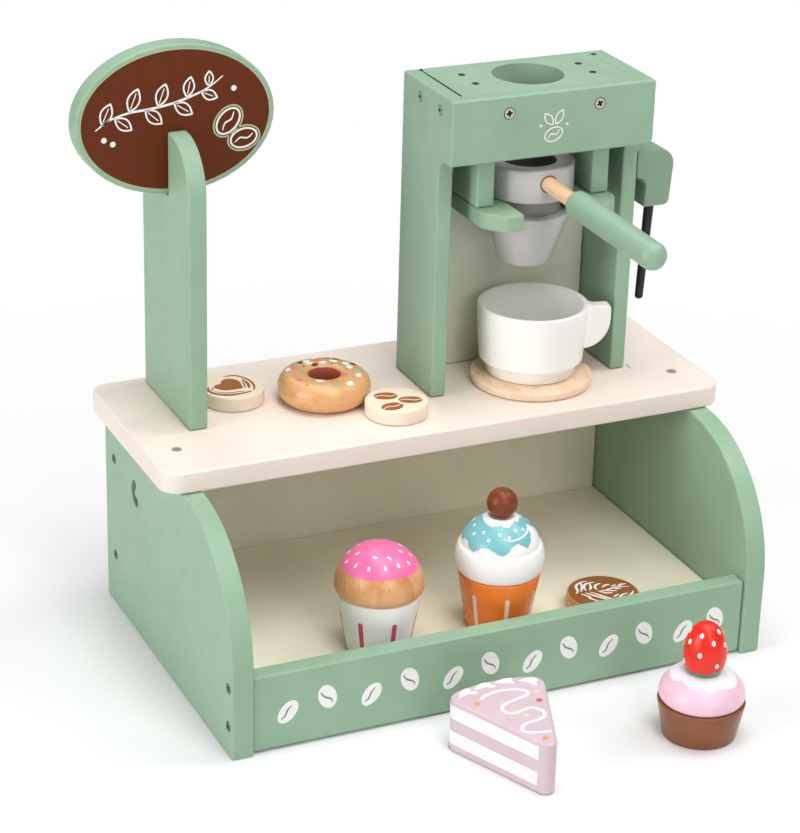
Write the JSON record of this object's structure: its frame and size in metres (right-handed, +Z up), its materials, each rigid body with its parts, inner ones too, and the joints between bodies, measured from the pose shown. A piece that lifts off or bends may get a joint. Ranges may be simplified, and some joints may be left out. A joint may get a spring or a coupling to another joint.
{
  "type": "toy coffee maker",
  "caption": "Wooden play coffee machine with a fork-held portafilter and a steam wand, on a low cafe cabinet with an oval sign, a cup on a saucer and play pastries.",
  "frame": {"origin": "under the middle of the whole set's bounding box, on the surface that it stands on", "axes": "+X to the right of a child in front of it, from the sign to the machine; +Y to the back; +Z up"},
  "size_m": [0.3694, 0.3038, 0.3519],
  "materials": {
    "green_paint": "satin sage green paint",
    "cream_paint": "satin cream paint",
    "grey_paint": "satin grey paint",
    "white_gloss": "glossy white paint",
    "beech": "clear varnish on beech",
    "disc_cream": "cream paint with brown prints",
    "black_paint": "black paint",
    "steel": "bright zinc plating",
    "case_white": "white gloss with painted stripes",
    "case_orange": "orange gloss with painted stripes",
    "case_brown": "brown gloss paint",
    "chocolate": "brown gloss paint",
    "frosting_white": "white and light blue gloss paint",
    "icing_pink": "pink gloss paint",
    "strawberry_red": "red gloss paint",
    "cake_pink": "pink satin paint with white layers",
    "pink_top": "varnished beech with a pink cap"
  },
  "bodies": {
    "stand": {"left_side_panel": "green_paint", "right_side_panel": "green_paint", "back_panel": "cream_paint", "floor_board": "cream_paint", "front_rail": "green_paint", "counter_top": "cream_paint", "machine_left_side": "green_paint", "machine_right_side": "green_paint", "machine_back_panel": "cream_paint", "machine_top_board": "green_paint", "machine_front_board": "green_paint", "left_hanger": "green_paint", "right_hanger": "green_paint", "fork_plate": "green_paint", "sign_post": "green_paint"},
    "portafilter": {"portafilter_basket": "grey_paint", "portafilter_dowel": "beech", "portafilter_grip": "green_paint"},
    "steam_wand": {"steam_wand_block": "green_paint", "steam_wand_rod": "black_paint", "steam_wand_pivot": "steel"},
    "sign": {"sign_board": "green_paint"},
    "saucer": {"saucer": "beech"},
    "cup": {"cup": "white_gloss"},
    "heart_disc": {"heart_disc": "disc_cream"},
    "bean_disc": {"bean_disc": "disc_cream"},
    "fern_disc": {"fern_disc": "beech"},
    "donut": {"donut": "beech"},
    "pink_cupcake": {"pink_cupcake_case": "case_white", "pink_cupcake_top": "pink_top"},
    "blue_cupcake": {"blue_cupcake_case": "case_orange", "blue_cupcake_frosting": "frosting_white", "blue_cupcake_ball": "chocolate"},
    "strawberry_cupcake": {"strawberry_cupcake_case": "case_brown", "strawberry_cupcake_icing": "icing_pink", "strawberry": "strawberry_red"},
    "cake_slice": {"cake_slice": "cake_pink"}
  },
  "joints": [
    {"name": "portafilter_slide", "type": "slide", "parent": "stand", "child": "portafilter", "axis": [0, -1, 0], "range_m": [0, 0.08]},
    {"name": "steam_wand_hinge", "type": "hinge", "parent": "stand", "child": "steam_wand", "pos_m": [0.14175, 0.07191, 0.2645], "axis": [1, 0, 0], "range_deg": [-45, 45]},
    {"name": "sign_lift", "type": "slide", "parent": "stand", "child": "sign", "axis": [0, 0, 1], "range_m": [0, 0.05]},
    {"name": "saucer_slide", "type": "slide", "parent": "stand", "child": "saucer", "axis": [0, -1, 0], "range_m": [0, 0.045]},
    {"name": "cup_lift", "type": "slide", "parent": "saucer", "child": "cup", "axis": [0, 0, 1], "range_m": [0, 0.02]},
    {"name": "heart_disc_lift", "type": "slide", "parent": "stand", "child": "heart_disc", "axis": [0, 0, 1], "range_m": [0, 0.08]},
    {"name": "bean_disc_lift", "type": "slide", "parent": "stand", "child": "bean_disc", "axis": [0, 0, 1], "range_m": [0, 0.08]},
    {"name": "fern_disc_lift", "type": "slide", "parent": "stand", "child": "fern_disc", "axis": [0, 0, 1], "range_m": [0, 0.08]},
    {"name": "donut_lift", "type": "slide", "parent": "stand", "child": "donut", "axis": [0, 0, 1], "range_m": [0, 0.08]},
    {"name": "pink_cupcake_lift", "type": "slide", "parent": "stand", "child": "pink_cupcake", "axis": [0, 0, 1], "range_m": [0, 0.08]},
    {"name": "blue_cupcake_lift", "type": "slide", "parent": "stand", "child": "blue_cupcake", "axis": [0, 0, 1], "range_m": [0, 0.08]},
    {"name": "strawberry_cupcake_lift", "type": "slide", "parent": "stand", "child": "strawberry_cupcake", "axis": [0, 0, 1], "range_m": [0, 0.1]},
    {"name": "cake_slice_lift", "type": "slide", "parent": "stand", "child": "cake_slice", "axis": [0, 0, 1], "range_m": [0, 0.1]}
  ]
}
